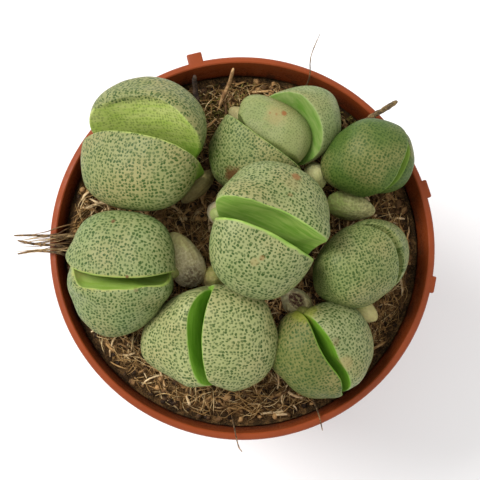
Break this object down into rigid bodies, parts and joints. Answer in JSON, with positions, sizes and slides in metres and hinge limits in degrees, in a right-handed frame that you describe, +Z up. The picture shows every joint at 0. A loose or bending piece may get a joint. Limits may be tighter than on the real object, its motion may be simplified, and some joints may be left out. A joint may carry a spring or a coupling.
{
  "type": "potted split rock succulents",
  "caption": "Round terracotta-coloured nursery pot crowded with split rock succulents: thick, dotted grey-green leaf pairs, withered leaves and peat soil.",
  "frame": {"origin": "centre of the pot's flat base, on the surface it stands on", "axes": "+Z up, out of the pot's mouth; +Y towards the big tab on the rim, 14 degrees clockwise of it; the pot's round, so X and Y only place the plants"},
  "size_m": [0.1147, 0.1127, 0.1228],
  "materials": {
    "pot_plastic": "satin",
    "soil": "matt, fibrous peat",
    "leaf_skin": "matt, waxy",
    "withered_leaf": "matt, wrinkled",
    "root": "matt",
    "twig": "matt"
  },
  "bodies": {
    "root": {"pot": "pot_plastic", "soil": "soil", "plant_1_leaf_a": "leaf_skin", "plant_1_leaf_b": "leaf_skin", "plant_2_leaf_a": "leaf_skin", "plant_2_leaf_b": "leaf_skin", "plant_2_leaf_c": "leaf_skin", "plant_3_leaf_a": "leaf_skin", "plant_3_leaf_b": "leaf_skin", "plant_4_leaf_a": "leaf_skin", "plant_4_leaf_b": "leaf_skin", "plant_5_leaf_a": "leaf_skin", "plant_5_leaf_b": "leaf_skin", "plant_6_leaf_a": "leaf_skin", "plant_6_leaf_b": "leaf_skin", "plant_7_leaf_a": "leaf_skin", "plant_7_leaf_b": "leaf_skin", "plant_8_leaf_a": "leaf_skin", "plant_8_leaf_b": "leaf_skin", "old_leaf_1": "withered_leaf", "old_leaf_2": "withered_leaf", "old_leaf_3": "withered_leaf", "old_leaf_4": "withered_leaf", "old_leaf_5": "withered_leaf", "old_leaf_6": "withered_leaf", "old_leaf_7": "withered_leaf", "old_leaf_8": "withered_leaf", "old_leaf_9": "withered_leaf", "plant_1_root": "root", "plant_2_root": "root", "plant_3_root": "root", "plant_4_root": "root", "plant_5_root": "root", "plant_6_root": "root", "plant_7_root": "root", "plant_8_root": "root", "twig_right": "twig", "twig_dark": "twig", "twig_pale": "twig", "fibre_left_1": "twig", "fibre_left_2": "twig", "fibre_left_3": "twig", "fibre_top": "twig", "fibre_bottom": "twig", "fibre_low_right": "twig"}
  },
  "joints": []
}
